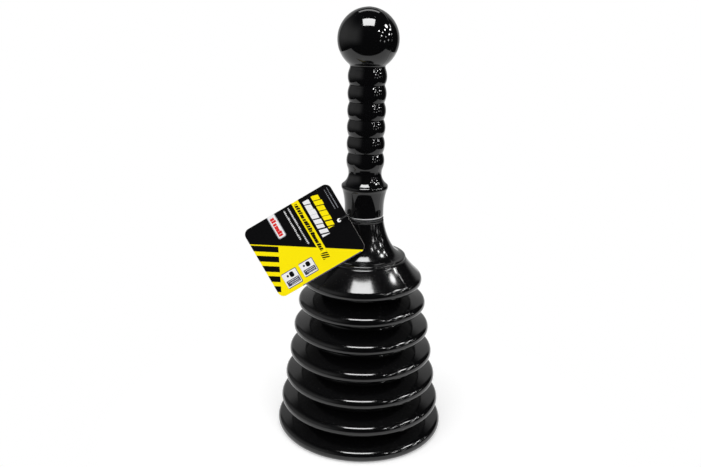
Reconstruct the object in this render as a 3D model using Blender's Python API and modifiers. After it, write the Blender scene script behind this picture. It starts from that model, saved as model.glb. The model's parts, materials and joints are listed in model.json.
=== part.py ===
"""A bellows plunger: a hollow handle pressed on a flexible bellows, with a swing tag tied round the neck.

Run it with blender --background --python part.py, or from Blender's text editor.
The plunger stands on the floor, z = 0, with its axis on Z and its front towards -Y.
Each named object is one piece, or one of the three stretches of the bellows moulding.
"""

import math

import bpy
from mathutils import Matrix, Vector

MM = 0.001

# ---- bellows: the folds and the foot ----
FOLD_COUNT = 5
FOLD_PITCH = 21.05 * MM
FOLD_TOP_RADIUS = 51.2 * MM
FOLD_BOTTOM_RADIUS = 64.7 * MM
FOLD_DEPTH = 15.5 * MM
CREST_ROUND = 4.4 * MM
CREST_TURN = 68.0
VALLEY_BAND = 0.9 * MM
BELLOWS_WALL = 1.8 * MM

FOOT_RADIUS = 68.0 * MM
FOOT_ROUND = 4.5 * MM
FOOT_TO_FOLD = 20.4 * MM
FOOT_LIP = 7.0 * MM

# ---- bellows: the shoulder, the flared neck and the plug in the handle ----
RIM_RADIUS = 47.5 * MM
RIM_ROUND = 5.0 * MM
RIM_ABOVE_FOLD = 19.5 * MM
DOME_HEIGHT = 17.0 * MM
STEP_RADIUS = 33.9 * MM
STEP_ROUND = 1.3 * MM
STEP_INSET = 0.5 * MM
FLARE_HEIGHT = 31.0 * MM
FLARE_LEAN = 0.25
DOME_SAG = 0.55 * MM
RIM_START = 50.0
NECK_PROUD = 0.25 * MM
PLUG_HEIGHT = 21.0 * MM
PLUG_CROWN = 3.0 * MM

# ---- handle ----
SKIRT_MOUTH_RADIUS = 15.2 * MM
SKIRT_WAIST_RADIUS = 15.2 * MM
SKIRT_WAIST_HEIGHT = 6.0 * MM
SKIRT_BAND = 1.2 * MM
SKIRT_HEIGHT = 21.1 * MM
SKIRT_TOP_RADIUS = 17.3 * MM
COLLAR_RADIUS = 18.2 * MM
COLLAR_ROUND = 2.0 * MM
COVE_RADIUS = 10.8 * MM
COVE_SPAN = 60.0
COVE_RISE = 10.9 * MM
COVE_LEAD = 3.2 * MM
COVE_TOP_RADIUS = 12.8 * MM
BEAD_COUNT = 6
BEAD_PITCH = 12.65 * MM
BEAD_RADIUS = 14.6 * MM
GROOVE_RADIUS = 13.1 * MM
BALL_RADIUS = 22.8 * MM
BALL_NECK_RADIUS = 13.0 * MM
BALL_LEAD = 1.6 * MM
HANDLE_WALL = 2.2 * MM

# ---- swing tag and its tie ----
TAG_LENGTH = 75.2 * MM
TAG_WIDTH = 58.5 * MM
TAG_THICK = 0.8 * MM
TAG_CORNER = 5.0 * MM
TAG_HOLE_RADIUS = 1.5 * MM
TAG_HOLE_INSET = 7.25 * MM
TAG_TURN = 31.8
TAG_LEAN = 16.4
TAG_HOLE_SIDE = 18.7 * MM
TAG_HOLE_RISE = 1.3 * MM
TIE_RADIUS = 0.6 * MM
TIE_LEAD = ((0.35, 0.0), (0.65, 0.25))

# ---- clearances ----
JOINT_GAP = 0.3 * MM
PLUG_GAP = 0.3 * MM
REST_GAP = 0.5 * MM
TIE_GAP = 0.45 * MM

# ---- mesh fineness ----
TURN_STEPS = 36
MERGE = 0.00001

# ---- heights, worked out from the floor up ----
FOOT_CREST_Z = FOOT_ROUND
FIRST_FOLD_Z = FOOT_CREST_Z + FOOT_TO_FOLD
LAST_FOLD_Z = FIRST_FOLD_Z + (FOLD_COUNT - 1) * FOLD_PITCH
RIM_Z = LAST_FOLD_Z + RIM_ABOVE_FOLD
STEP_Z = RIM_Z + DOME_HEIGHT + STEP_ROUND
NECK_Z = STEP_Z + STEP_ROUND + FLARE_HEIGHT
SKIRT_Z = NECK_Z + JOINT_GAP
SKIRT_TOP_Z = SKIRT_Z + SKIRT_HEIGHT
COLLAR_Z = SKIRT_TOP_Z + COLLAR_ROUND
COVE_Z = COLLAR_Z + COVE_RISE
GRIP_Z = COVE_Z + COVE_LEAD
BALL_NECK_Z = GRIP_Z + BEAD_COUNT * BEAD_PITCH + BALL_LEAD
BALL_Z = BALL_NECK_Z + math.sqrt(BALL_RADIUS**2 - BALL_NECK_RADIUS**2)
PLUG_TOP_Z = NECK_Z + PLUG_HEIGHT

# ---- radii that follow from their neighbours ----
NECK_RADIUS = SKIRT_MOUTH_RADIUS + NECK_PROUD
PLUG_RADIUS = SKIRT_WAIST_RADIUS - HANDLE_WALL - PLUG_GAP
TIE_SEAT_RADIUS = NECK_RADIUS - 2 * TIE_RADIUS - TIE_GAP
TIE_SEAT_Z = NECK_Z - 2 * (TIE_RADIUS + TIE_GAP)
FOLD_TAPER = (FOLD_BOTTOM_RADIUS - FOLD_TOP_RADIUS) / (FOLD_COUNT - 1)


def arc(centre_r, centre_z, radius, start, end, count):
    """Points (r, z) on a round stretch; angles in degrees from the outward radius, up positive."""
    points = []
    for i in range(count):
        a = math.radians(start + (end - start) * i / (count - 1))
        points.append((centre_r + radius * math.cos(a), centre_z + radius * math.sin(a)))
    return points


def flare(r0, z0, r1, z1, lean, count):
    """A trumpet outline from (r0, z0) down and out to (r1, z1); lean is how much of it is a plain cone."""
    points = []
    for i in range(count):
        a = math.radians(90 * i / (count - 1))
        out = lean * math.sin(a) + (1 - lean) * (1 - math.cos(a))
        points.append((r0 + (r1 - r0) * out, z0 + (z1 - z0) * math.sin(a)))
    return points


def sagged(r0, z0, r1, z1, sag, count):
    """Points on a nearly straight run from (r0, z0) down and out to (r1, z1), dipped inwards by sag."""
    length = math.hypot(r1 - r0, z1 - z0)
    points = []
    for i in range(count):
        t = i / (count - 1)
        dip = 4 * sag * t * (1 - t) / length
        points.append((r0 + (r1 - r0) * t + dip * (z1 - z0), z0 + (z1 - z0) * t - dip * (r1 - r0)))
    return points


def fold_radius(level):
    """Crest radius of a fold; level 0 is the lowest, and halves lie between two crests."""
    return FOLD_BOTTOM_RADIUS - FOLD_TAPER * level


def crest(radius, z, rounding, start=CREST_TURN, end=-CREST_TURN, count=5):
    return arc(radius - rounding, z, rounding, start, end, count)


def valley(radius, z):
    """The narrow upright band at the root between two crests."""
    return [(radius, z + VALLEY_BAND), (radius, z - VALLEY_BAND)]


# the two places where the bellows moulding is divided into its stretches
TOP_VALLEY_RADIUS = (RIM_RADIUS + FOLD_TOP_RADIUS) / 2 - FOLD_DEPTH
TOP_VALLEY_Z = (RIM_Z - RIM_ROUND + LAST_FOLD_Z + CREST_ROUND) / 2
LOW_VALLEY_RADIUS = (FOOT_RADIUS + FOLD_BOTTOM_RADIUS) / 2 - FOLD_DEPTH
LOW_VALLEY_Z = (FOOT_CREST_Z + FOOT_ROUND + FIRST_FOLD_Z - CREST_ROUND) / 2
FOLDS_TOP_Z = TOP_VALLEY_Z - JOINT_GAP / 2
FOLDS_BOTTOM_Z = LOW_VALLEY_Z + JOINT_GAP / 2


def folds_outline():
    points = [(TOP_VALLEY_RADIUS, FOLDS_TOP_Z), (TOP_VALLEY_RADIUS, TOP_VALLEY_Z - VALLEY_BAND)]
    for level in reversed(range(FOLD_COUNT)):
        z = FIRST_FOLD_Z + level * FOLD_PITCH
        points += crest(fold_radius(level), z, CREST_ROUND)
        if level:
            points += valley(fold_radius(level - 0.5) - FOLD_DEPTH, z - FOLD_PITCH / 2)
    points += [(LOW_VALLEY_RADIUS, LOW_VALLEY_Z + VALLEY_BAND), (LOW_VALLEY_RADIUS, FOLDS_BOTTOM_Z)]
    return points


def foot_outline():
    """From the lowest valley out over the rolled edge and in along the sole to the open mouth."""
    points = [(LOW_VALLEY_RADIUS, FOLDS_BOTTOM_Z - JOINT_GAP)]
    points.append((LOW_VALLEY_RADIUS, LOW_VALLEY_Z - VALLEY_BAND))
    points += crest(FOOT_RADIUS, FOOT_CREST_Z, FOOT_ROUND, CREST_TURN, -90, 8)
    points.append((FOOT_RADIUS - FOOT_ROUND - FOOT_LIP, 0.0))
    return points


def neck_outline():
    """The closed plug in the handle, the tie's groove, the trumpet, the step, the dome and its rim."""
    points = [(0.0, PLUG_TOP_Z), (PLUG_RADIUS - PLUG_CROWN, PLUG_TOP_Z)]
    points += arc(PLUG_RADIUS - PLUG_CROWN, PLUG_TOP_Z - PLUG_CROWN, PLUG_CROWN, 60, 0, 3)
    points += [(PLUG_RADIUS, NECK_Z), (TIE_SEAT_RADIUS, NECK_Z), (TIE_SEAT_RADIUS, TIE_SEAT_Z)]
    points += flare(NECK_RADIUS, TIE_SEAT_Z, STEP_RADIUS - STEP_ROUND, STEP_Z + STEP_ROUND, FLARE_LEAN, 7)
    points += arc(STEP_RADIUS - STEP_ROUND, STEP_Z, STEP_ROUND, 45, -60, 3)
    dome_start = STEP_RADIUS - STEP_INSET + 0.6 * STEP_ROUND
    rim = arc(RIM_RADIUS - RIM_ROUND, RIM_Z, RIM_ROUND, RIM_START, -CREST_TURN, 6)
    points += sagged(dome_start, STEP_Z - STEP_ROUND, *rim[0], DOME_SAG, 5)
    points += rim[1:]
    points += [
        (TOP_VALLEY_RADIUS, TOP_VALLEY_Z + VALLEY_BAND),
        (TOP_VALLEY_RADIUS, TOP_VALLEY_Z + JOINT_GAP / 2),
    ]
    return points


def bead_outline(centre_z, count=5):
    """One bulge of the grip: a shallow arc between two grooves."""
    rise = BEAD_RADIUS - GROOVE_RADIUS
    half = BEAD_PITCH / 2
    radius = (half * half + rise * rise) / (2 * rise)
    spread = math.degrees(math.asin(half / radius))
    return arc(BEAD_RADIUS - radius, centre_z, radius, spread, -spread, count)


def handle_outline():
    """Ball, beads, cove, collar and skirt, from the top down to the open mouth of the skirt."""
    reach = math.degrees(math.acos(BALL_NECK_RADIUS / BALL_RADIUS))
    points = [(0.0, BALL_Z + BALL_RADIUS)]
    points += arc(0.0, BALL_Z, BALL_RADIUS, 75, -reach, 10)
    for i in reversed(range(BEAD_COUNT)):
        bead = bead_outline(GRIP_Z + (i + 0.5) * BEAD_PITCH)
        points += bead if i == BEAD_COUNT - 1 else bead[1:]
    points += arc(COVE_TOP_RADIUS + COVE_RADIUS, COVE_Z, COVE_RADIUS, 180, 180 + COVE_SPAN, 5)
    points += arc(COLLAR_RADIUS - COLLAR_ROUND, COLLAR_Z, COLLAR_ROUND, 35, -50, 4)
    waist_z = SKIRT_Z + SKIRT_WAIST_HEIGHT
    points += [(SKIRT_TOP_RADIUS, SKIRT_TOP_Z)]
    for share in (0.85, 0.6, 0.3):
        bulge = (SKIRT_TOP_RADIUS - SKIRT_WAIST_RADIUS) * share**2
        points.append((SKIRT_WAIST_RADIUS + bulge, waist_z + (SKIRT_TOP_Z - waist_z) * share))
    points.append((SKIRT_WAIST_RADIUS, waist_z))
    points += [(SKIRT_MOUTH_RADIUS, SKIRT_Z + SKIRT_BAND), (SKIRT_MOUTH_RADIUS, SKIRT_Z)]
    return points


# ---- the tag's frame: origin at the hole, x to the punched edge, y out of the back, z along that edge ----
def tag_turn():
    lean = Matrix.Rotation(math.radians(-TAG_LEAN), 4, "X")
    return lean @ Matrix.Rotation(math.radians(-TAG_TURN), 4, "Y")


def tag_frame():
    """The tag leans back with its lower edge against the shoulder, clear of it by the rest gap."""
    turn = tag_turn()
    along = turn @ Vector((1, 0, 0))
    across = turn @ Vector((0, 0, 1))
    hole = Vector((-TAG_HOLE_SIDE, 0.0, NECK_Z + TAG_HOLE_RISE))
    corner = hole + along * TAG_HOLE_INSET - across * TAG_WIDTH / 2
    places = []
    for radius, z in neck_outline():
        run = (corner.z - z) / along.z
        edge = corner - along * run
        reach = radius + REST_GAP + TAG_THICK / 2
        if 0 <= run <= TAG_LENGTH and abs(edge.x) < reach:
            places.append(-math.sqrt(reach**2 - edge.x**2) - edge.y)
    hole.y = min(places)
    return Matrix.Translation(hole) @ turn


def lead(leaving, hook, level):
    """Points from the loop out to the card, low at first so that the tie clears the skirt."""
    points = []
    for along, rise in TIE_LEAD:
        point = leaving.lerp(hook, along)
        point.z = level + rise * (hook.z - level)
        points.append(point)
    return points


def tie_route():
    """Points of the closed tie: round the neck in its groove, through the hole and over the edge."""
    frame = tag_frame()
    strip = TAG_HOLE_INSET - TAG_HOLE_RADIUS
    strip_centre = Vector((TAG_HOLE_INSET - strip / 2, 0, 0))
    turn_radius = strip / 2 + TIE_RADIUS + TIE_GAP + 0.1 * MM
    level = TIE_SEAT_Z + TIE_GAP + TIE_RADIUS
    loop_radius = TIE_SEAT_RADIUS + TIE_GAP + TIE_RADIUS
    post = frame @ strip_centre
    distance = math.hypot(post.x, post.y)
    facing = math.atan2(post.y, post.x)
    spread = math.acos(loop_radius / distance)
    start = facing + spread
    end = facing - spread + 2 * math.pi
    points = []
    steps = 13
    for i in range(steps + 1):
        a = start + (end - start) * i / steps
        points.append(Vector((loop_radius * math.cos(a), loop_radius * math.sin(a), level)))
    hook = []
    for angle in (225, 180, 135, 90, 45, 0, -45):
        a = math.radians(angle)
        offset = Vector((turn_radius * math.cos(a), -turn_radius * math.sin(a), 0))
        hook.append(frame @ (strip_centre + offset))
    points += lead(points[-1], hook[0], level)
    points += hook
    points += reversed(lead(points[0], hook[-1], level))
    return points


def smooth_loop(points, spacing):
    """Points about one spacing apart on a smooth closed curve through the route's own points."""
    out = []
    count = len(points)
    for i in range(count):
        a, b, c, d = (points[(i + k) % count] for k in (-1, 0, 1, 2))
        steps = max(1, round((c - b).length / spacing))
        for k in range(steps):
            t = k / steps
            bend = (2 * a - 5 * b + 4 * c - d) * t**2 + (3 * b - a - 3 * c + d) * t**3
            out.append(0.5 * (2 * b + (c - a) * t + bend))
    return out


# ---- scene helpers ----
def clear_scene():
    for obj in list(bpy.data.objects):
        bpy.data.objects.remove(obj, do_unlink=True)


def collection(name):
    group = bpy.data.collections.new(name)
    bpy.context.scene.collection.children.link(group)
    return group


def material(name, colour, roughness, metallic=0.0):
    m = bpy.data.materials.new(name)
    m.use_nodes = True
    shader = m.node_tree.nodes["Principled BSDF"]
    shader.inputs["Base Color"].default_value = (*colour, 1.0)
    shader.inputs["Roughness"].default_value = roughness
    shader.inputs["Metallic"].default_value = metallic
    return m


def add(name, data, finish, group):
    obj = bpy.data.objects.new(name, data)
    group.objects.link(obj)
    obj.data.materials.append(finish)
    return obj


def turned_shell(name, outline, wall, finish, group):
    """Turn an outline once round Z, then thicken it inwards into a shell."""
    mesh = bpy.data.meshes.new(name)
    verts = [(r, 0.0, z) for r, z in outline]
    mesh.from_pydata(verts, [(i, i + 1) for i in range(len(verts) - 1)], [])
    obj = add(name, mesh, finish, group)
    screw = obj.modifiers.new("turn", "SCREW")
    screw.axis = "Z"
    screw.steps = TURN_STEPS
    screw.render_steps = TURN_STEPS
    screw.use_merge_vertices = True
    screw.merge_threshold = MERGE
    screw.use_smooth_shade = False
    shell = obj.modifiers.new("wall", "SOLIDIFY")
    shell.thickness = wall
    shell.offset = -1.0
    shell.use_even_offset = True
    return obj


# ---- the pieces ----
def build_bellows(group):
    plastic = material("bellows_black", (0.012, 0.012, 0.013), 0.18)
    turned_shell("bellows_foot", foot_outline(), BELLOWS_WALL, plastic, group)
    turned_shell("bellows_folds", folds_outline(), BELLOWS_WALL, plastic, group)
    turned_shell("bellows_neck", neck_outline(), BELLOWS_WALL, plastic, group)


def build_handle(group):
    plastic = material("handle_black", (0.010, 0.010, 0.011), 0.14)
    turned_shell("handle_grip", handle_outline(), HANDLE_WALL, plastic, group)


def rounded_card(curve):
    """The card's outline with round corners and its punched hole, in the tag's own frame."""
    right = TAG_HOLE_INSET - TAG_CORNER
    left = TAG_HOLE_INSET - TAG_LENGTH + TAG_CORNER
    top = TAG_WIDTH / 2 - TAG_CORNER
    corners = [(right, top, 0), (left, top, 90), (left, -top, 180), (right, -top, 270)]
    edge = []
    for x, y, first in corners:
        edge += arc(x, y, TAG_CORNER, first, first + 90, 6)
    hole = arc(0.0, 0.0, TAG_HOLE_RADIUS, 0, -345, 24)
    for outline in (edge, hole):
        spline = curve.splines.new("POLY")
        spline.points.add(len(outline) - 1)
        for point, (x, y) in zip(spline.points, outline):
            point.co = (x, y, 0.0, 1.0)
        spline.use_cyclic_u = True


def build_tag(group):
    card = material("card_print", (0.75, 0.68, 0.03), 0.45)
    curve = bpy.data.curves.new("tag_card", "CURVE")
    curve.dimensions = "2D"
    curve.fill_mode = "BOTH"
    curve.extrude = TAG_THICK / 2
    rounded_card(curve)
    obj = add("tag_card", curve, card, group)
    flat_to_upright = Matrix.Rotation(math.radians(90), 4, "X")
    obj.matrix_world = tag_frame() @ flat_to_upright


def build_tie(group):
    cord = material("tie_black", (0.015, 0.015, 0.015), 0.5)
    curve = bpy.data.curves.new("tag_tie", "CURVE")
    curve.dimensions = "3D"
    curve.bevel_depth = TIE_RADIUS
    curve.bevel_resolution = 2
    points = smooth_loop(tie_route(), 2.4 * MM)
    spline = curve.splines.new("POLY")
    spline.points.add(len(points) - 1)
    for point, place in zip(spline.points, points):
        point.co = (*place, 1.0)
    spline.use_cyclic_u = True
    add("tag_tie", curve, cord, group)


def main():
    clear_scene()
    group = collection("bellows_plunger")
    build_bellows(group)
    build_handle(group)
    build_tag(group)
    build_tie(group)


main()
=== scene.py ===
"""The looks of the bellows plunger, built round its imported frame."""

import json
import math

import bmesh
import bpy
from mathutils import Matrix, Vector


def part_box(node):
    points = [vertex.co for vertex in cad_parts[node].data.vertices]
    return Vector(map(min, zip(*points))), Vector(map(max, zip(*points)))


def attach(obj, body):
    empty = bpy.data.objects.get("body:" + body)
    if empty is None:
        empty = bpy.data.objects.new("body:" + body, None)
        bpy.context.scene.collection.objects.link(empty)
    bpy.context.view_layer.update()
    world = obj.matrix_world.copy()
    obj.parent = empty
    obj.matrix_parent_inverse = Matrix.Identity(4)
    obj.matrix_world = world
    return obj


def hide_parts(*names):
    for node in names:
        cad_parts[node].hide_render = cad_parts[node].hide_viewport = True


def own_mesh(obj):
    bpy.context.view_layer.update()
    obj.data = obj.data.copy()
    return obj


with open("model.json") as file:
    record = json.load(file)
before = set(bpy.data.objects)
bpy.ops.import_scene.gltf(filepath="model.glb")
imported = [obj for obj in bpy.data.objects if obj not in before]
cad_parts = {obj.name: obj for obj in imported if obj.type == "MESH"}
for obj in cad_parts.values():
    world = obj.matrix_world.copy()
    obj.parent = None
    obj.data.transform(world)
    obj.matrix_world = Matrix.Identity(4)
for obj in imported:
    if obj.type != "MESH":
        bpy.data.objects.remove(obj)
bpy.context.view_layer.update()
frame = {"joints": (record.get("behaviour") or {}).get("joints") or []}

MM = 0.001

# ---- places that the frame gives ----
GRIP_LOW, GRIP_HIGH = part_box("handle_grip")
NECK_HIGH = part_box("bellows_neck")[1]
FOLDS_LOW, FOLDS_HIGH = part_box("bellows_folds")
FOOT_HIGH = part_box("bellows_foot")[1]

# ---- sizes of the bellows moulding ----
FOLD_COUNT = 5
FOLD_PITCH = 21.05 * MM
FOLD_TOP_RADIUS = 51.2 * MM
FOLD_BOTTOM_RADIUS = FOLDS_HIGH.x
FOLD_DEPTH = 15.5 * MM
CREST_ROUND = 4.4 * MM
ROOT_ROUND = 1.45 * MM
BELLOWS_WALL = 1.8 * MM
FOOT_RADIUS = FOOT_HIGH.x
FOOT_ROUND = 4.5 * MM
FOOT_LIP = 7.0 * MM
FOOT_TO_FOLD = 20.4 * MM
RIM_RADIUS = NECK_HIGH.x
RIM_ROUND = 5.0 * MM
RIM_ABOVE_FOLD = 19.5 * MM
DOME_HEIGHT = 17.0 * MM
STEP_RADIUS = 33.9 * MM
STEP_ROUND = 1.3 * MM
STEP_INSET = 0.5 * MM
FLARE_LEAN = 0.25
DOME_SAG = 0.55 * MM
RIM_START = 50.0
PLUG_CROWN = 3.0 * MM
JOINT_GAP = 0.3 * MM
VALLEY_BAND = 0.9 * MM

# ---- sizes of the handle moulding ----
HANDLE_WALL = 2.2 * MM
SKIRT_MOUTH_RADIUS = 15.2 * MM
SKIRT_WAIST_RADIUS = 15.2 * MM
SKIRT_WAIST_HEIGHT = 6.0 * MM
SKIRT_HEIGHT = 21.1 * MM
SKIRT_TOP_RADIUS = 17.3 * MM
COLLAR_RADIUS = 18.2 * MM
COLLAR_ROUND = 2.0 * MM
COVE_RADIUS = 10.8 * MM
COVE_SPAN = 60.0
COVE_RISE = 10.9 * MM
COVE_LEAD = 3.2 * MM
COVE_TOP_RADIUS = 12.8 * MM
BEAD_COUNT = 6
BEAD_PITCH = 12.65 * MM
BEAD_RADIUS = 14.6 * MM
GROOVE_RADIUS = 13.1 * MM
BALL_RADIUS = GRIP_HIGH.x
BALL_NECK_RADIUS = 13.0 * MM
BALL_LEAD = 1.6 * MM

# ---- sizes of the swing tag and its tie ----
TAG_LENGTH = 75.2 * MM
TAG_WIDTH = 58.5 * MM
TAG_THICK = 0.8 * MM
TAG_CORNER = 5.0 * MM
TAG_PRESS = 0.09 * MM
TAG_HOLE_RADIUS = 1.5 * MM
TAG_HOLE_INSET = 7.25 * MM
TAG_TURN = 31.8
TAG_LEAN = 16.4
TAG_HOLE = Vector((-18.7, -19.635, 180.5)) * MM
TIE_RADIUS = 0.6 * MM
TIE_LEAD = ((0.35, 0.0), (0.65, 0.25))
TIE_GAP = 0.45 * MM
HOOK_EXTRA = 0.1 * MM
# a strand's centre and its own radius, as shares of the tie's radius
STRAND_LAY = 0.48
STRAND_SHARE = 0.52

# ---- camera: where it stands, in metres, and how it is turned, in degrees ----
CAMERA_PLACE = (0, -0.5525, 0.3356)
CAMERA_LENS = 37.6
CAMERA_HEADING = 1.057
CAMERA_DROP = 17.241
CAMERA_ROLL = 1.183

# ---- studio levels: how bright the floor and backdrop are, and how they show in gloss ----
FLOOR_LIFT = 0.34
FLOOR_IN_GLOSS = 1.0
BACKDROP_IN_GLOSS = 0.45
WALL_IN_GLOSS = 0.45
ROOM_IN_GLOSS = 0.012
PLAIN_LEVEL = 0.62
FLOOR_HALF_WIDTH = 0.6
FLOOR_FRONT = -0.195
FLOOR_BACK = 2.4
FLOOR_DROP = 0.0002
FLOOR_FADE_START = 0.08
FLOOR_FADE_END = 0.22
# small lamps on the right: azimuth, elevation and width in degrees, and brightness
SPARKS = (
    (42, 30, 4, 55), (56, 24, 3, 40), (70, 30, 4, 60), (96, 25, 4, 60),
    (49, 14, 4, 36), (84, 15, 4, 50), (66, 10, 3, 14), (100, 5, 3, 14),
    (44, -2, 4, 4), (60, -4, 5, 5), (77, 0, 5, 6),
)

# ---- colours of the mouldings ----
PLASTIC_BLACK = (0.0022, 0.0022, 0.0025)
# painted highlight: the pale colour of a band at the skirt's mouth, standing in for the light line its
# edge catches
PAINTED_HIGHLIGHT_EDGE = (0.72, 0.72, 0.73, 1.0)
# height of the painted highlight band above the skirt's mouth
PAINTED_HIGHLIGHT_HEIGHT = 1.0 * MM
LIP_HEIGHT = 1.2 * MM

# ---- the mould's parting line, and how fine the turned pieces are ----
PARTING_ANGLE = 48.0
RIDGE_HEIGHT = 0.11 * MM
RIDGE_WIDTH = 0.5 * MM
COLUMN_CROWDING = 0.43
WELD = 0.002 * MM
COLUMNS = 112
HANDLE_COLUMNS = 96
WIDE_COLUMNS = 128

# ---- heights that follow ----
NECK_Z = GRIP_LOW.z - JOINT_GAP
FIRST_FOLD_Z = FOOT_ROUND + FOOT_TO_FOLD
LAST_FOLD_Z = FIRST_FOLD_Z + (FOLD_COUNT - 1) * FOLD_PITCH
RIM_Z = LAST_FOLD_Z + RIM_ABOVE_FOLD
STEP_Z = RIM_Z + DOME_HEIGHT + STEP_ROUND
TOP_ROOT_RADIUS = (RIM_RADIUS + FOLD_TOP_RADIUS) / 2 - FOLD_DEPTH
LOW_ROOT_RADIUS = (FOOT_RADIUS + FOLD_BOTTOM_RADIUS) / 2 - FOLD_DEPTH
SKIRT_Z = GRIP_LOW.z
COLLAR_Z = SKIRT_Z + SKIRT_HEIGHT + COLLAR_ROUND
COVE_Z = COLLAR_Z + COVE_RISE
GRIP_Z = COVE_Z + COVE_LEAD
BALL_NECK_Z = GRIP_Z + BEAD_COUNT * BEAD_PITCH + BALL_LEAD
BALL_Z = GRIP_HIGH.z - BALL_RADIUS
NECK_RADIUS = SKIRT_MOUTH_RADIUS + 0.25 * MM
PLUG_RADIUS = SKIRT_WAIST_RADIUS - HANDLE_WALL - JOINT_GAP
TIE_SEAT_RADIUS = NECK_RADIUS - 2 * TIE_RADIUS - TIE_GAP
TIE_SEAT_Z = NECK_Z - 2 * (TIE_RADIUS + TIE_GAP)


# ---- node building ----
class Wire:
    """One socket; a Python operator on it adds the Math node that it stands for."""

    def __init__(self, board, socket):
        self.board = board
        self.socket = socket

    def math(self, operation, *others):
        return self.board.math(operation, self, *others)

    def __add__(self, other):
        return self.math("ADD", other)

    def __radd__(self, other):
        return self.board.math("ADD", other, self)

    def __sub__(self, other):
        return self.math("SUBTRACT", other)

    def __rsub__(self, other):
        return self.board.math("SUBTRACT", other, self)

    def __mul__(self, other):
        return self.math("MULTIPLY", other)

    def __truediv__(self, other):
        return self.math("DIVIDE", other)

    def __neg__(self):
        return self.math("MULTIPLY", -1.0)

    def __abs__(self):
        return self.math("ABSOLUTE")

    def __gt__(self, other):
        return self.math("GREATER_THAN", other)

    def __lt__(self, other):
        return self.math("LESS_THAN", other)


class Board:
    """A node tree being wired; add() puts in one node and returns one of its outputs."""

    def __init__(self, tree):
        self.tree = tree

    def add(self, kind, settings=None, values=None, out=0):
        node = self.tree.nodes.new(kind)
        for key, value in (settings or {}).items():
            if key == "stops":
                self.set_stops(node.color_ramp, value)
            else:
                setattr(node, key, value)
        for key, value in (values or {}).items():
            socket = node.inputs[key]
            if isinstance(value, Wire):
                self.tree.links.new(value.socket, socket)
            else:
                socket.default_value = value
        return node if out is None else Wire(self, node.outputs[out])

    @staticmethod
    def set_stops(ramp, stops):
        while len(ramp.elements) < len(stops):
            ramp.elements.new(1.0)
        for element, (place, colour) in zip(ramp.elements, stops):
            element.position = place
            element.color = colour

    def math(self, operation, *terms):
        return self.add("ShaderNodeMath", {"operation": operation}, dict(enumerate(terms)))

    def vector(self, operation, *terms):
        return self.add("ShaderNodeVectorMath", {"operation": operation}, dict(enumerate(terms)))

    def scaled(self, vector, factor):
        return self.add("ShaderNodeVectorMath", {"operation": "SCALE"}, {0: vector, "Scale": factor})

    def split(self, vector):
        node = self.add("ShaderNodeSeparateXYZ", values={0: vector}, out=None)
        return [Wire(self, socket) for socket in node.outputs]

    def join(self, x, y, z):
        return self.add("ShaderNodeCombineXYZ", values={0: x, 1: y, 2: z})

    def ramp(self, value, low, high, start=0.0, end=1.0):
        """A smooth rise from start to end as value goes from low to high."""
        settings = {"interpolation_type": "SMOOTHSTEP"}
        numbers = {0: value, 1: low, 2: high, 3: start, 4: end}
        return self.add("ShaderNodeMapRange", settings, numbers)

    def mix(self, factor, a, b):
        return self.add("ShaderNodeMix", {"data_type": "RGBA"}, {0: factor, 6: a, 7: b}, out=2)

    def noise(self, vector, scale, detail=2.0, roughness=0.5, dimensions="3D", w=None):
        values = {"Vector": vector, "Scale": scale, "Detail": detail, "Roughness": roughness}
        if w is not None:
            values["W"] = w
        return self.add("ShaderNodeTexNoise", {"noise_dimensions": dimensions}, values)

    def bump(self, height):
        """A normal from a height in metres."""
        return self.add("ShaderNodeBump", values={"Height": height, "Strength": 1.0, "Distance": 1.0})


def largest(a, b):
    return a.math("MAXIMUM", b)


# ---- camera ----
def set_camera():
    data = bpy.data.cameras.new("camera")
    data.sensor_width = 36.0
    data.lens = CAMERA_LENS
    data.clip_start = 0.01
    camera = bpy.data.objects.new("camera", data)
    bpy.context.scene.collection.objects.link(camera)
    heading = Matrix.Rotation(math.radians(CAMERA_HEADING), 4, "Z")
    pitch = Matrix.Rotation(math.radians(90 - CAMERA_DROP), 4, "X")
    roll = Matrix.Rotation(math.radians(CAMERA_ROLL), 4, "Z")
    camera.matrix_world = Matrix.Translation(CAMERA_PLACE) @ heading @ pitch @ roll
    bpy.context.scene.camera = camera


# ---- outlines, as points (radius, height) from the top of a piece down ----
def arc(centre_r, centre_z, radius, start, end, count):
    points = []
    for i in range(count):
        a = math.radians(start + (end - start) * i / (count - 1))
        points.append((centre_r + radius * math.cos(a), centre_z + radius * math.sin(a)))
    return points


def flare(r0, z0, r1, z1, lean, count):
    """A trumpet's curve; lean is how soon it turns outwards."""
    points = []
    for i in range(count):
        a = math.radians(90 * i / (count - 1))
        out = lean * math.sin(a) + (1 - lean) * (1 - math.cos(a))
        points.append((r0 + (r1 - r0) * out, z0 + (z1 - z0) * math.sin(a)))
    return points


def sagged(r0, z0, r1, z1, sag, count):
    """A line from one point to the other that dips inwards by sag half-way."""
    length = math.hypot(r1 - r0, z1 - z0)
    points = []
    for i in range(count):
        t = i / (count - 1)
        dip = 4 * sag * t * (1 - t) / length
        points.append((r0 + (r1 - r0) * t + dip * (z1 - z0), z0 + (z1 - z0) * t - dip * (r1 - r0)))
    return points


def even(points, spacing):
    """Points about one spacing apart along a line of points, with its two ends kept."""
    lengths = [math.dist(a, b) for a, b in zip(points, points[1:])]
    count = max(2, round(sum(lengths) / spacing))
    step = sum(lengths) / count
    out = [points[0]]
    walked = 0.0
    target = step
    for a, b, length in zip(points, points[1:], lengths):
        while length > 0 and walked + length >= target and len(out) < count:
            share = (target - walked) / length
            out.append((a[0] + (b[0] - a[0]) * share, a[1] + (b[1] - a[1]) * share))
            target += step
        walked += length
    out.append(points[-1])
    return out


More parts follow.
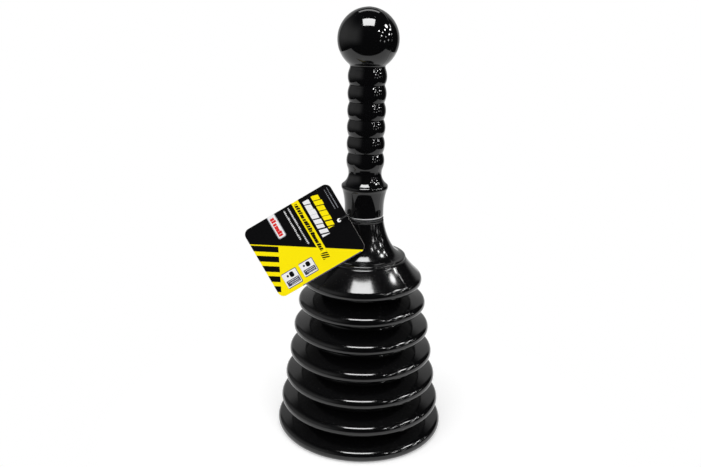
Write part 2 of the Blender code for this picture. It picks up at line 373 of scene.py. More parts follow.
def softened(points, passes):
    """Corners eased by averaging each point with its neighbours; the ends stay."""
    for _ in range(passes):
        inner = [
            ((a[0] + 2 * b[0] + c[0]) / 4, (a[1] + 2 * b[1] + c[1]) / 4)
            for a, b, c in zip(points, points[1:], points[2:])
        ]
        points = [points[0], *inner, points[-1]]
    return points


def away(point, a, b):
    """Distance from a point to the stretch between a and b."""
    ab = (b[0] - a[0], b[1] - a[1])
    ap = (point[0] - a[0], point[1] - a[1])
    square = ab[0] ** 2 + ab[1] ** 2
    share = 0.0 if square == 0 else max(0.0, min(1.0, (ap[0] * ab[0] + ap[1] * ab[1]) / square))
    return math.hypot(ap[0] - share * ab[0], ap[1] - share * ab[1])


def inner_wall(outline, wall):
    """The outline moved inwards by the wall, without the points that would cross over."""
    kept = []
    for i, (r, z) in enumerate(outline):
        before = outline[max(i - 1, 0)]
        after = outline[min(i + 1, len(outline) - 1)]
        length = math.dist(before, after)
        if length == 0:
            continue
        moved = (
            r + wall * (after[1] - before[1]) / length,
            z - wall * (after[0] - before[0]) / length,
        )
        near = min(away(moved, a, b) for a, b in zip(outline, outline[1:]))
        if near > wall * 0.97 and moved[0] > 0:
            kept.append(moved)
    return kept


def hollow(outline, wall):
    """A closed outline: the outside down to the mouth, and the inner wall back up."""
    inside = even(inner_wall(outline, wall), 1.6 * MM)
    if outline[0][0] == 0:
        inside[0] = (0.0, outline[0][1] - wall)
    return outline + inside[::-1]


def handle_outline():
    """Ball, grip, cove, collar and skirt. The grip is left plain here: its beads come from a rule."""
    reach = math.degrees(math.acos(BALL_NECK_RADIUS / BALL_RADIUS))
    grip_top = GRIP_Z + BEAD_COUNT * BEAD_PITCH
    above = [(0.0, BALL_Z + BALL_RADIUS)]
    above += arc(0.0, BALL_Z, BALL_RADIUS, 89, -reach, 60)
    above += [(BALL_NECK_RADIUS, BALL_NECK_Z - 0.4 * BALL_LEAD), (GROOVE_RADIUS, grip_top)]
    grip = [(GROOVE_RADIUS, grip_top), (GROOVE_RADIUS, GRIP_Z)]
    below = [(GROOVE_RADIUS, GRIP_Z)]
    below += arc(COVE_TOP_RADIUS + COVE_RADIUS, COVE_Z, COVE_RADIUS, 180, 180 + COVE_SPAN, 14)
    below += arc(COLLAR_RADIUS - COLLAR_ROUND, COLLAR_Z, COLLAR_ROUND, 35, -50, 12)
    waist_z = SKIRT_Z + SKIRT_WAIST_HEIGHT
    top_z = SKIRT_Z + SKIRT_HEIGHT
    for i in range(11):
        share = 1 - i / 10
        bulge = (SKIRT_TOP_RADIUS - SKIRT_WAIST_RADIUS) * share**2
        below.append((SKIRT_WAIST_RADIUS + bulge, waist_z + (top_z - waist_z) * share))
    below.append((SKIRT_MOUTH_RADIUS, SKIRT_Z + 1.2 * MM))
    below += arc(SKIRT_MOUTH_RADIUS - 0.4 * MM, SKIRT_Z + 0.4 * MM, 0.4 * MM, 0, -90, 6)
    above = softened(even(above, 0.7 * MM), 3)
    grip = even(grip, 0.5 * MM)
    below = softened(even(below, 0.55 * MM), 2)
    return above[:-1], grip, below[1:]


def neck_outline():
    """The plug in the handle, the ledge under the skirt, the trumpet, the step, the dome and its rim."""
    plug = [(0.0, NECK_HIGH.z), (PLUG_RADIUS - PLUG_CROWN, NECK_HIGH.z)]
    plug += arc(PLUG_RADIUS - PLUG_CROWN, NECK_HIGH.z - PLUG_CROWN, PLUG_CROWN, 60, 0, 4)
    plug.append((PLUG_RADIUS, NECK_Z))
    body = [(PLUG_RADIUS, NECK_Z), (TIE_SEAT_RADIUS, NECK_Z), (TIE_SEAT_RADIUS, TIE_SEAT_Z)]
    body += flare(NECK_RADIUS, TIE_SEAT_Z, STEP_RADIUS - STEP_ROUND, STEP_Z + STEP_ROUND, FLARE_LEAN, 40)
    body += arc(STEP_RADIUS - STEP_ROUND, STEP_Z, STEP_ROUND, 45, -60, 8)
    start = STEP_RADIUS - STEP_INSET + 0.6 * STEP_ROUND
    rim = arc(RIM_RADIUS - RIM_ROUND, RIM_Z, RIM_ROUND, RIM_START, -68, 24)
    body += sagged(start, STEP_Z - STEP_ROUND, *rim[0], DOME_SAG, 30) + rim[1:]
    body.append((TOP_ROOT_RADIUS, FOLDS_HIGH.z + JOINT_GAP + VALLEY_BAND))
    body.append((TOP_ROOT_RADIUS, FOLDS_HIGH.z + JOINT_GAP))
    return even(plug, 1.5 * MM)[:-1] + softened(even(body, 0.45 * MM), 1)


def foot_outline():
    """From the lowest root out over the rolled edge and in along the sole to the mouth."""
    points = [(LOW_ROOT_RADIUS, FOOT_HIGH.z), (LOW_ROOT_RADIUS, FOOT_HIGH.z - VALLEY_BAND)]
    points += arc(FOOT_RADIUS - FOOT_ROUND, FOOT_ROUND, FOOT_ROUND, 68, -90, 24)
    points.append((FOOT_RADIUS - FOOT_ROUND - FOOT_LIP, 0.0))
    return softened(even(points, 0.5 * MM), 1)


# ---- geometry trees ----
def new_tree(name, inputs):
    """A geometry tree with named inputs: a name maps to its socket type and default value."""
    tree = bpy.data.node_groups.new(name, "GeometryNodeTree")
    tree.interface.new_socket("Geometry", in_out="INPUT", socket_type="NodeSocketGeometry")
    for label, (kind, value) in inputs.items():
        socket = tree.interface.new_socket(label, in_out="INPUT", socket_type="NodeSocket" + kind)
        if value is not None:
            socket.default_value = value
    tree.interface.new_socket("Geometry", in_out="OUTPUT", socket_type="NodeSocketGeometry")
    board = Board(tree)
    entry = board.add("NodeGroupInput", out=None)
    given = {socket.name: Wire(board, socket) for socket in entry.outputs if socket.name}
    return board, given


def end_tree(board, geometry):
    board.add("NodeGroupOutput", values={0: geometry}, out=None)
    return board.tree


def end_surface(board, mesh, material):
    """Ends a tree with a smooth mesh in one material."""
    mesh = board.add("GeometryNodeSetShadeSmooth", values={"Geometry": mesh})
    mesh = board.add("GeometryNodeRealizeInstances", values={"Geometry": mesh})
    mesh = board.add("GeometryNodeSetMaterial", values={"Geometry": mesh, "Material": material})
    return end_tree(board, mesh)


SKIN_INPUTS = {
    "Columns": ("Int", COLUMNS),
    "Parting Angle": ("Float", math.radians(PARTING_ANGLE)),
    "Ridge Height": ("Float", RIDGE_HEIGHT),
    "Ridge Width": ("Float", RIDGE_WIDTH),
    "Waviness": ("Float", 0.05 * MM),
    "Wave Scale": ("Float", 45.0),
    "Seed": ("Float", 3.0),
    "Plastic": ("Material", None),
}


def turning_tree():
    """Turns a line of points (x = radius, z = height) once round Z into a skin. Columns crowd
    together at the mould's parting line, where the skin stands up in a fine ridge."""
    board, given = new_tree("turn line into skin", SKIN_INPUTS)
    line = given["Geometry"]
    size = board.add("GeometryNodeAttributeDomainSize", {"component": "CURVE"}, {0: line})
    steps = given["Columns"] + 1
    grid = board.add("GeometryNodeMeshGrid", values={0: 1.0, 1: 1.0, 2: size, 3: steps})
    across, around, _ = board.split(board.add("GeometryNodeInputPosition"))
    index = ((across + 0.5) * (size - 1)).math("ROUND")
    place = board.add("GeometryNodeInputPosition")
    settings = {"data_type": "FLOAT_VECTOR", "domain": "POINT"}
    values = {"Geometry": line, "Value": place, "Index": index}
    point = board.add("GeometryNodeSampleIndex", settings, values)
    radius, _, height = board.split(point)
    turn = (around + 0.5) * (2 * math.pi)
    angle = given["Parting Angle"] + turn - (turn * 2).math("SINE") * COLUMN_CROWDING
    spot = board.join(radius * angle.math("SINE"), -(radius * angle.math("COSINE")), height)
    skin = board.add("GeometryNodeSetPosition", values={"Geometry": grid, "Position": spot})
    skin = board.add("GeometryNodeMergeByDistance", values={"Geometry": skin, "Distance": WELD})

    here = board.add("GeometryNodeInputPosition")
    x, y, _ = board.split(here)
    aside = abs(x * given["Parting Angle"].math("COSINE") + y * given["Parting Angle"].math("SINE"))
    ridge = largest(1 - aside / given["Ridge Width"], 0.0) * given["Ridge Height"]
    wave = board.noise(here, given["Wave Scale"], 1.0, 0.4, "4D", given["Seed"])
    lift = ridge + (wave - 0.5) * 2 * given["Waviness"]
    offset = board.scaled(board.add("GeometryNodeInputNormal"), lift)
    skin = board.add("GeometryNodeSetPosition", values={"Geometry": skin, "Offset": offset})
    return end_surface(board, skin, given["Plastic"])


def through_turning(board, line, given):
    """Puts the turning tree into another tree, with that tree's own skin inputs."""
    node = board.tree.nodes.new("GeometryNodeGroup")
    node.node_tree = TURNING
    board.tree.links.new(line.socket, node.inputs["Geometry"])
    for name in SKIN_INPUTS:
        board.tree.links.new(given[name].socket, node.inputs[name])
    return Wire(board, node.outputs[0])


def beaded_grip_tree():
    """Turns the handle's outline, with the grip's beads made by rule from their pitch and radii."""
    own = {
        "Grip Height": ("Float", GRIP_Z),
        "Bead Pitch": ("Float", BEAD_PITCH),
        "Bead Radius": ("Float", BEAD_RADIUS),
        "Groove Radius": ("Float", GROOVE_RADIUS),
        "Groove Round": ("Float", 0.35 * MM),
    }
    board, given = new_tree("beaded handle", own | SKIN_INPUTS)
    x, _, z = board.split(board.add("GeometryNodeInputPosition"))
    on_grip = board.add("GeometryNodeInputNamedAttribute", {"data_type": "FLOAT"}, {"Name": "on_grip"})
    pitch = given["Bead Pitch"]
    rise = given["Bead Radius"] - given["Groove Radius"]
    half = pitch / 2
    swell = (half * half + rise * rise) / (rise * 2)
    phase = ((z - given["Grip Height"]) / pitch).math("FRACT") - 0.5
    aside = phase * pitch
    bulge = (swell * swell - aside * aside).math("SQRT") - swell + rise
    eased = bulge.math("SMOOTH_MAX", given["Groove Round"] * 0.5, given["Groove Round"])
    out = board.join(x + on_grip * eased, 0.0, z)
    line = board.add("GeometryNodeSetPosition", values={"Geometry": given["Geometry"], "Position": out})
    line = board.add("GeometryNodeMeshToCurve", values={"Mesh": line})
    return end_tree(board, through_turning(board, line, given))


def plain_turned_tree():
    """Turns an outline that is finished already, such as the neck's or the foot's."""
    board, given = new_tree("turned moulding", SKIN_INPUTS)
    line = board.add("GeometryNodeMeshToCurve", values={"Mesh": given["Geometry"]})
    return end_tree(board, through_turning(board, line, given))


def overruns():
    """How far the zigzag's corners run past the round crests and roots that are filleted into them."""
    crest = root = 0.0
    for _ in range(20):
        lean = math.atan2(FOLD_PITCH / 2, FOLD_DEPTH + crest + root)
        crest, root = (radius / math.sin(lean) - radius for radius in (CREST_ROUND, ROOT_ROUND))
    return crest, root


def folded_bellows_tree():
    """Makes the folds by rule: a zigzag whose crests grow evenly from top to bottom, with round
    crests and roots, turned round the axis."""
    crest_overrun, root_overrun = overruns()
    own = {
        "Folds": ("Int", FOLD_COUNT),
        "Pitch": ("Float", FOLD_PITCH),
        "First Fold Height": ("Float", FIRST_FOLD_Z),
        "Bottom Crest Radius": ("Float", FOLD_BOTTOM_RADIUS),
        "Top Crest Radius": ("Float", FOLD_TOP_RADIUS),
        "Fold Depth": ("Float", FOLD_DEPTH),
        "Crest Round": ("Float", CREST_ROUND),
        "Crest Overrun": ("Float", crest_overrun),
        "Root Round": ("Float", ROOT_ROUND),
        "Root Overrun": ("Float", root_overrun),
        "Top Edge Radius": ("Float", TOP_ROOT_RADIUS),
        "Top Edge Height": ("Float", FOLDS_HIGH.z),
        "Low Edge Radius": ("Float", LOW_ROOT_RADIUS),
        "Low Edge Height": ("Float", FOLDS_LOW.z),
        "Point Spacing": ("Float", 0.65 * MM),
    }
    board, given = new_tree("folded bellows", own | SKIN_INPUTS)
    last = given["Folds"] * 2
    index = board.add("GeometryNodeInputIndex")
    level = (last - 1 - index) / 2
    is_crest = (index.math("MODULO", 2.0)) > 0.5
    taper = (given["Bottom Crest Radius"] - given["Top Crest Radius"]) / (given["Folds"] - 1)
    crest_radius = given["Bottom Crest Radius"] - taper * level
    out = is_crest * given["Crest Overrun"]
    back = (1 - is_crest) * (given["Fold Depth"] + given["Root Overrun"])
    radius = crest_radius + out - back
    height = given["First Fold Height"] + level * given["Pitch"]
    at_top = index < 0.5
    at_low = index > (last - 0.5)
    inside = 1 - at_top - at_low
    radius = inside * radius + at_top * given["Top Edge Radius"] + at_low * given["Low Edge Radius"]
    height = inside * height + at_top * given["Top Edge Height"] + at_low * given["Low Edge Height"]
    zigzag = board.add("GeometryNodeMeshLine", values={"Count": last + 1})
    spot = board.join(radius, 0.0, height)
    zigzag = board.add("GeometryNodeSetPosition", values={"Geometry": zigzag, "Position": spot})
    line = board.add("GeometryNodeMeshToCurve", values={"Mesh": zigzag})
    rounding = is_crest * given["Crest Round"] + (1 - is_crest) * given["Root Round"]
    values = {"Curve": line, "Count": 12, "Radius": rounding}
    line = board.add("GeometryNodeFilletCurve", {"mode": "POLY"}, values)
    values = {"Curve": line, "Length": given["Point Spacing"]}
    line = board.add("GeometryNodeResampleCurve", {"mode": "LENGTH"}, values)
    return end_tree(board, through_turning(board, line, given))


# ---- making pieces ----
def link(name, data):
    obj = bpy.data.objects.new(name, data)
    bpy.context.scene.collection.objects.link(obj)
    return obj


def evaluated_mesh(obj):
    """A new mesh of the object as its modifiers leave it."""
    graph = bpy.context.evaluated_depsgraph_get()
    return bpy.data.meshes.new_from_object(obj.evaluated_get(graph), depsgraph=graph)


def outline_object(name, points, on_grip=None):
    mesh = bpy.data.meshes.new(name)
    edges = [(i, i + 1) for i in range(len(points) - 1)]
    mesh.from_pydata([(r, 0.0, z) for r, z in points], edges, [])
    if on_grip:
        marks = mesh.attributes.new("on_grip", "FLOAT", "POINT")
        marks.data.foreach_set("value", on_grip)
    return link(name, mesh)


def grown(source, tree, sizes, name):
    """Runs a geometry tree on a source object and returns its result as a plain mesh object."""
    modifier = source.modifiers.new("grow", "NODES")
    modifier.node_group = tree
    for item in tree.interface.items_tree:
        if item.item_type == "SOCKET" and item.in_out == "INPUT" and item.name in sizes:
            modifier[item.identifier] = sizes[item.name]
    bpy.context.view_layer.update()
    mesh = evaluated_mesh(source)
    bpy.data.objects.remove(source)
    mesh.name = name
    return link(name, mesh)


def walled(obj, wall):
    """Gives an open skin a wall on its inner side."""
    shell = bmesh.new()
    shell.from_mesh(obj.data)
    bmesh.ops.remove_doubles(shell, verts=shell.verts, dist=WELD)
    bmesh.ops.recalc_face_normals(shell, faces=shell.faces)
    shell.to_mesh(obj.data)
    shell.free()
    thick = obj.modifiers.new("wall", "SOLIDIFY")
    thick.thickness = wall
    thick.offset = -1.0
    thick.use_even_offset = True
    thick.use_quality_normals = True
    mesh = evaluated_mesh(obj)
    obj.modifiers.clear()
    obj.data = mesh


# ---- finishes ----
def finish_board(name):
    """A new material, its node board and its shader."""
    material = bpy.data.materials.new(name)
    material.use_nodes = True
    board = Board(material.node_tree)
    shader = material.node_tree.nodes["Principled BSDF"]
    return material, board, shader


def feed(board, shader, **wires):
    """Links wires to the shader's inputs, with _ for a blank in an input's name."""
    for key, wire in wires.items():
        board.tree.links.new(wire.socket, shader.inputs[key.replace("_", " ")])


def object_place(board):
    return board.add("ShaderNodeTexCoord", out="Object")


def gloss_black(name, base, gloss, peel, painted_highlight=None, dulled=None):
    """Black moulded plastic with a gloss: fine peel, slow flow marks, hairline scuffs and a little dust.
    painted_highlight is a pair of heights between which a pale band is painted on as the highlight line
    along the moulding's edge, and dulled is a pair between which the gloss is rubbed off."""
    material, board, shader = finish_board(name)
    place = object_place(board)
    x, y, z = board.split(place)

    flow = board.noise(place, 60.0, 3.0, 0.55)
    cloud = board.noise(place, 240.0, 4.0, 0.6)
    around = x.math("ARCTAN2", y) * 0.02
    ring = board.join(around * 6.0, z * 90.0, 0.0)
    scuffs = board.ramp(board.noise(ring, 14.0, 6.0, 0.7), 0.60, 0.78)
    specks = board.ramp(board.noise(place, 1500.0, 1.0, 0.4), 0.715, 0.78)
    up = board.split(board.add("ShaderNodeNewGeometry", out="Normal"))[2]
    dust = specks * board.ramp(up, -0.1, 0.8, 0.25, 1.0)

    pale = [min(1.0, c * 3.2 + 0.012) for c in base]
    colour = board.mix(dust * 0.8, (*base, 1.0), (*pale, 1.0))
    colour = board.mix(scuffs * 0.25, colour, (*[c * 1.9 for c in base], 1.0))
    rough = gloss + (flow - 0.5) * 0.07 + (cloud - 0.5) * 0.04 + scuffs * 0.10 + dust * 0.25
    # painted highlight: a pale band between the two heights stands in for the light line along the edge,
    # with a rougher gloss there
    if painted_highlight:
        low, high = painted_highlight
        edge = board.ramp(z, low - 0.06 * MM, low + 0.06 * MM)
        edge = edge * board.ramp(z, high, high + 0.1 * MM, 1.0, 0.0)
        colour = board.mix(edge, colour, PAINTED_HIGHLIGHT_EDGE)
        rough = rough + edge * 0.3
    if dulled:
        low, high = dulled
        rubbed = board.ramp(z, low, low + 0.4 * MM) * board.ramp(z, high, high + 0.4 * MM, 1.0, 0.0)
        rough = rough + rubbed * 0.5
    orange = board.noise(place, 420.0, 2.0, 0.5)
    slow = board.noise(place, 110.0, 2.0, 0.5)
    height = (orange * 0.004 + slow * 0.016) * (peel * MM) - scuffs * (0.002 * MM)
    bump = board.bump(height)
    feed(board, shader, Base_Color=colour, Roughness=rough, Normal=bump)
    shader.inputs["IOR"].default_value = 1.5
    return material


def floor_finish():
    """Pale floor with the shadow near the foot; further off it is as white as the backdrop."""
    material, board, shader = finish_board("pale_floor")
    shader.inputs["Base Color"].default_value = (0.82, 0.82, 0.82, 1.0)
    shader.inputs["Roughness"].default_value = 0.9
    shader.inputs["Specular IOR Level"].default_value = 0.0
    x, y, _ = board.split(object_place(board))
    far = board.ramp((x * x + y * y).math("SQRT"), FLOOR_FADE_START, FLOOR_FADE_END)
    path = board.add("ShaderNodeLightPath", out=None)
    seen, glossy, glass = (
        Wire(board, path.outputs[f"Is {ray} Ray"]) for ray in ("Camera", "Glossy", "Transmission")
    )
    mirrored = largest(glossy, glass)
    plain = Wire(board, shader.outputs[0])
    lift, white, in_gloss = (
        board.add("ShaderNodeEmission", values={"Color": (1, 1, 1, 1), "Strength": strength})
        for strength in (FLOOR_LIFT, 1.0, FLOOR_IN_GLOSS)
    )
    near = board.add("ShaderNodeAddShader", values={0: plain, 1: lift})
    to_camera = board.add("ShaderNodeMixShader", values={0: far, 1: near, 2: white})
    to_gloss = board.add("ShaderNodeMixShader", values={0: far, 1: near, 2: in_gloss})
    other = board.add("ShaderNodeMixShader", values={0: mirrored, 1: plain, 2: to_gloss})
    face = board.add("ShaderNodeMixShader", values={0: seen, 1: other, 2: to_camera})
    sink = board.tree.nodes["Material Output"]
    board.tree.links.new(face.socket, sink.inputs["Surface"])
    return material


# ---- studio ----
def direction(azimuth, elevation):
    """Unit vector; azimuth 0 is the front (-Y) and 90 the right (+X)."""
    a, e = math.radians(azimuth), math.radians(elevation)
    return Vector((math.sin(a) * math.cos(e), -math.cos(a) * math.cos(e), math.sin(e)))


def lamp(
    name, azimuth, elevation, wide, tall, radiance, shine, distance=1.4, shape="RECTANGLE", aim=0.2
):
    """A soft lamp that fills an angle of wide by tall degrees. One that shines only shows in gloss,
    and the others only light what is matt, so that the matt light keeps a plain level."""
    data = bpy.data.lights.new(name, "AREA")
    data.shape = shape
    data.size = 2 * distance * math.tan(math.radians(wide / 2))
    data.size_y = 2 * distance * math.tan(math.radians(tall / 2))
    area = data.size * data.size_y * (math.pi / 4 if shape in ("DISK", "ELLIPSE") else 1.0)
    data.energy = radiance * area * math.pi
    obj = link(name, data)
    toward = direction(azimuth, elevation)
    target = Vector((0, 0, aim))
    obj.location = target + toward * distance
    obj.rotation_mode = "QUATERNION"
    obj.rotation_quaternion = toward.to_track_quat("Z", "Y")
    obj.visible_camera = False
    obj.visible_diffuse = not shine
    obj.visible_transmission = not shine
    obj.visible_glossy = shine
    return obj


def set_backdrop():
    """White all round to the camera. In gloss it shows a bright backdrop behind the object and a
    dimmer wall on its left, and matt faces get one plain level from every side."""
    scene = bpy.context.scene
    scene.view_settings.view_transform = "Standard"
    world = bpy.data.worlds.new("studio")
    scene.world = world
    world.use_nodes = True
    board = Board(world.node_tree)
    world.node_tree.nodes.clear()
    x, y, z = board.split(board.add("ShaderNodeTexCoord", out="Generated"))
    level = (x * x + y * y).math("SQRT")
    side = x.math("ARCTAN2", y)
    behind = board.ramp(abs(side), math.radians(34), math.radians(46), 1.0, 0.0)
    below = board.ramp(z, 0.50, 0.68, 1.0, 0.0)
    backdrop = behind * below * (level > 0.001)
    left = board.ramp(side, math.radians(-165), math.radians(-125))
    left = left * board.ramp(side, math.radians(-95), math.radians(-15), 1.0, 0.0)
    wall = left * board.ramp(z, -0.4, 0.1) * board.ramp(z, 0.3, 0.9, 1.0, 0.0)
    room = backdrop * BACKDROP_IN_GLOSS + wall * WALL_IN_GLOSS + ROOM_IN_GLOSS
    path = board.add("ShaderNodeLightPath", out=None)
    camera, glass, mirrored = (
        Wire(board, path.outputs[f"Is {ray} Ray"]) for ray in ("Camera", "Transmission", "Glossy")
    )
    seen = largest(camera, glass)
    strength = seen + (1 - seen) * (mirrored * room + (1 - mirrored) * PLAIN_LEVEL)
    glow = board.add("ShaderNodeBackground", values={"Color": (1, 1, 1, 1), "Strength": strength})
    board.add("ShaderNodeOutputWorld", values={"Surface": glow}, out=None)


def set_lamps():
    lamp("overhead_shine", 0, 65.5, 35, 27, 19.0, True, distance=0.62, aim=0.29)
    lamp("right_shine", 86, 37, 11, 10, 26.0, True, shape="ELLIPSE", aim=0.3)
    for i, (azimuth, elevation, size, radiance) in enumerate(SPARKS):
        name = f"right_spark_{i}"
        lamp(name, azimuth, elevation, size, size, radiance, True, shape="ELLIPSE", aim=0.29)
    lamp("back_shine", 180, 57, 34, 9, 2.2, True)
    lamp("overhead_fill", 0, 55, 60, 50, 1.7, False, distance=1.6)
    lamp("left_fill", -70, 35, 50, 50, 0.5, False, distance=1.6)


def set_floor():
    mesh = bpy.data.meshes.new("floor")
    low, high = -FLOOR_HALF_WIDTH, FLOOR_HALF_WIDTH
    corners = [(low, FLOOR_FRONT), (high, FLOOR_FRONT), (high, FLOOR_BACK), (low, FLOOR_BACK)]
    mesh.from_pydata([(x, y, -FLOOR_DROP) for x, y in corners], [], [(0, 1, 2, 3)])
    floor = link("floor", mesh)
    floor.data.materials.append(floor_finish())


# ---- the tag's own frame: origin at the hole, x to the punched edge, y out of its back ----
def tag_frame():
    lean = Matrix.Rotation(math.radians(-TAG_LEAN), 4, "X")
    turn = Matrix.Rotation(math.radians(-TAG_TURN), 4, "Y")
    return Matrix.Translation(TAG_HOLE) @ lean @ turn


def lead(leaving, hook, level):
    """Points from the loop out to the tag, low at first so that the tie clears the skirt."""
    points = []
    for along, rise in TIE_LEAD:
        point = leaving.lerp(hook, along)
        point.z = level + rise * (hook.z - level)
        points.append(point)
    return points


def tie_route():
    """Points of the closed tie: round the neck under the skirt, through the hole and over the edge."""
    place = tag_frame()
    strip = TAG_HOLE_INSET - TAG_HOLE_RADIUS
    strip_centre = Vector((TAG_HOLE_INSET - strip / 2, 0, 0))
    turn_radius = strip / 2 + TIE_RADIUS + TIE_GAP + HOOK_EXTRA
    level = TIE_SEAT_Z + TIE_GAP + TIE_RADIUS
    loop_radius = TIE_SEAT_RADIUS + TIE_GAP + TIE_RADIUS
    post = place @ strip_centre
    distance = math.hypot(post.x, post.y)
    facing = math.atan2(post.y, post.x)
    spread = math.acos(loop_radius / distance)
    start = facing + spread
    end = facing - spread + 2 * math.pi
    points = []
    for i in range(14):
        a = start + (end - start) * i / 13
        points.append(Vector((loop_radius * math.cos(a), loop_radius * math.sin(a), level)))
    hook = []
    for angle in (225, 180, 135, 90, 45, 0, -45):
        a = math.radians(angle)
        offset = Vector((turn_radius * math.cos(a), -turn_radius * math.sin(a), 0))
        hook.append(place @ (strip_centre + offset))
    points += lead(points[-1], hook[0], level)
    points += hook
    points += reversed(lead(points[0], hook[-1], level))
    return points


def smooth_loop(points, spacing):
    """A smooth closed curve through the points, with one point about every spacing."""
    out = []
    count = len(points)
    for i in range(count):
        a, b, c, d = (points[(i + k) % count] for k in (-1, 0, 1, 2))
        steps = max(1, round((c - b).length / spacing))
        for k in range(steps):
            t = k / steps
            square = (2 * a - 5 * b + 4 * c - d) * t**2
            cube = (3 * b - a - 3 * c + d) * t**3
            out.append(0.5 * (2 * b + (c - a) * t + square + cube))
    return out


def laid_cord_tree():
    """Lays strands round a closed path, each a helix about it."""
    own = {
        "Strands": ("Int", 3),
        "Cord Radius": ("Float", TIE_RADIUS),
        "Turns": ("Int", 42),
        "Point Spacing": ("Float", 0.28 * MM),
        "Fibre": ("Material", None),
    }
    board, given = new_tree("laid cord", own)
    path = board.add("GeometryNodeMeshToCurve", values={"Mesh": given["Geometry"]})
    values = {"Curve": path, "Length": given["Point Spacing"]}
    path = board.add("GeometryNodeResampleCurve", {"mode": "LENGTH"}, values)
    values = {"Geometry": path, "Amount": given["Strands"]}
    strands = board.add("GeometryNodeDuplicateElements", {"domain": "SPLINE"}, values, out=None)
    many = Wire(board, strands.outputs[0])
    which = Wire(board, strands.outputs[1])
    stretch = board.add("GeometryNodeSplineParameter", out="Factor")
    angle = (stretch * given["Turns"] + which / given["Strands"]) * (2 * math.pi)
    tangent = board.add("GeometryNodeInputTangent")
    normal = board.add("GeometryNodeInputNormal")
    binormal = board.vector("CROSS_PRODUCT", tangent, normal)
    reach = given["Cord Radius"] * STRAND_LAY
    side = board.scaled(normal, angle.math("COSINE") * reach)
    rise = board.scaled(binormal, angle.math("SINE") * reach)
    offset = board.vector("ADD", side, rise)
    many = board.add("GeometryNodeSetPosition", values={"Geometry": many, "Offset": offset})
    values = {"Resolution": 8, "Radius": TIE_RADIUS * STRAND_SHARE}
    ring = board.add("GeometryNodeCurvePrimitiveCircle", values=values)
    cord = board.add("GeometryNodeCurveToMesh", values={"Curve": many, "Profile Curve": ring})
    return end_surface(board, cord, given["Fibre"])


def tie_finish():
    material, board, shader = finish_board("tie_black_elastic")
    place = object_place(board)
    fibre = board.noise(place, 2600.0, 3.0, 0.6)
    colour = board.mix(fibre, (0.010, 0.010, 0.011, 1.0), (0.035, 0.035, 0.037, 1.0))
    rough = 0.55 + (fibre - 0.5) * 0.3
    bump = board.bump(fibre * (0.02 * MM))
    feed(board, shader, Base_Color=colour, Roughness=rough, Normal=bump)
    return material


def make_tie():
    route = smooth_loop(tie_route(), 0.5 * MM)
    mesh = bpy.data.meshes.new("tie_route")
    count = len(route)
    mesh.from_pydata(route, [(i, (i + 1) % count) for i in range(count)], [])
    source = link("tie_route", mesh)
    tie = grown(source, laid_cord_tree(), {"Fibre": tie_finish()}, "tie")
    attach(tie, "tie")
    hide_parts("tag_tie")
    loop = [tuple(point) for point in route + route[:1]]


# ---- the swing tag ----
BLACK = (0.003, 0.003, 0.0035, 1.0)
YELLOW = (1.0, 0.82, 0.0, 1.0)
WHITE = (0.86, 0.86, 0.87, 1.0)
NAVY = (0.012, 0.012, 0.14, 1.0)
DARK_BLUE = (0.05, 0.05, 0.09, 1.0)
RED = (0.70, 0.02, 0.02, 1.0)
GREY = (0.30, 0.31, 0.34, 1.0)
FADE = (0.02, 0.02, 0.02, 1.0)
INK_WEAR = 0.06

# the print is laid out on a sheet of this many units, u from the punched edge and v from the top
# edge; a box is u0, v0, u1, v1
SHEET_LENGTH = 71.4
SHEET_WIDTH = 57.0
FIELD_LEAN = 33.7
FIELD_START = 48.2
HAZARD_START = 49.1
HAZARD_PITCH = 7.25
HAZARD_END = 43.29
HAZARD_END_SLOPE = 2.054
BAND_START = 25.3
BAND_END = 30.7
BAND_LENGTH = 43.0
BAND_ROW = (26.6, 2.0, 29.6, 41.5)
HATCH = (25.6, 43.2, 30.9, 48.2)
HATCH_PITCH = 1.7
PRINT_SLANT = 0.3
TITLE_ROWS = (((10.2, 3.0, 16.2, 30.0), 4.35, YELLOW), ((17.0, 3.4, 23.2, 33.4), 4.15, WHITE))
SMALL_ROWS = (
    ((2.5, 3.0, 3.2, 20.0), GREY),
    ((4.7, 3.4, 5.4, 19.6), GREY),
    ((33.7, 1.8, 34.9, 32.5), WHITE),
    ((37.2, 2.0, 38.4, 27.0), WHITE),
)
PLATE = (44.9, -3.0, 51.3, 18.6)
PLATE_FACE = (45.4, -3.0, 50.8, 18.1)
PLATE_ROW = (46.4, 1.6, 50.0, 17.0)
SIGNS = ((37.4, 41.4, 48.6, 52.8), (51.2, 41.8, 63.2, 54.0))
LOWER_BORDER = (4.5, 56.35, 53.0, 58.0)
BACK_STRIP_START = 57.0
BACK_STRIP_END = 66.0


def within(board, value, low, high, soft=0.12):
    """1 from low to high, with a soft edge at both ends."""
    risen = board.ramp(value, low - soft, low + soft)
    return risen * board.ramp(value, high - soft, high + soft, 1.0, 0.0)


def in_box(board, u, v, box):
    u0, v0, u1, v1 = box
    return within(board, u, u0, u1) * within(board, v, v0, v1)


def panel(board, u, v, box, round_off):
    """1 inside a box with round corners."""
    u0, v0, u1, v1 = box
    du = largest(abs(u - (u0 + u1) / 2) - ((u1 - u0) / 2 - round_off), 0.0)
    dv = largest(abs(v - (v0 + v1) / 2) - ((v1 - v0) / 2 - round_off), 0.0)
    reach = (du * du + dv * dv).math("SQRT")
    return board.ramp(reach, round_off - 0.1 + 0.001, round_off + 0.1, 1.0, 0.0)


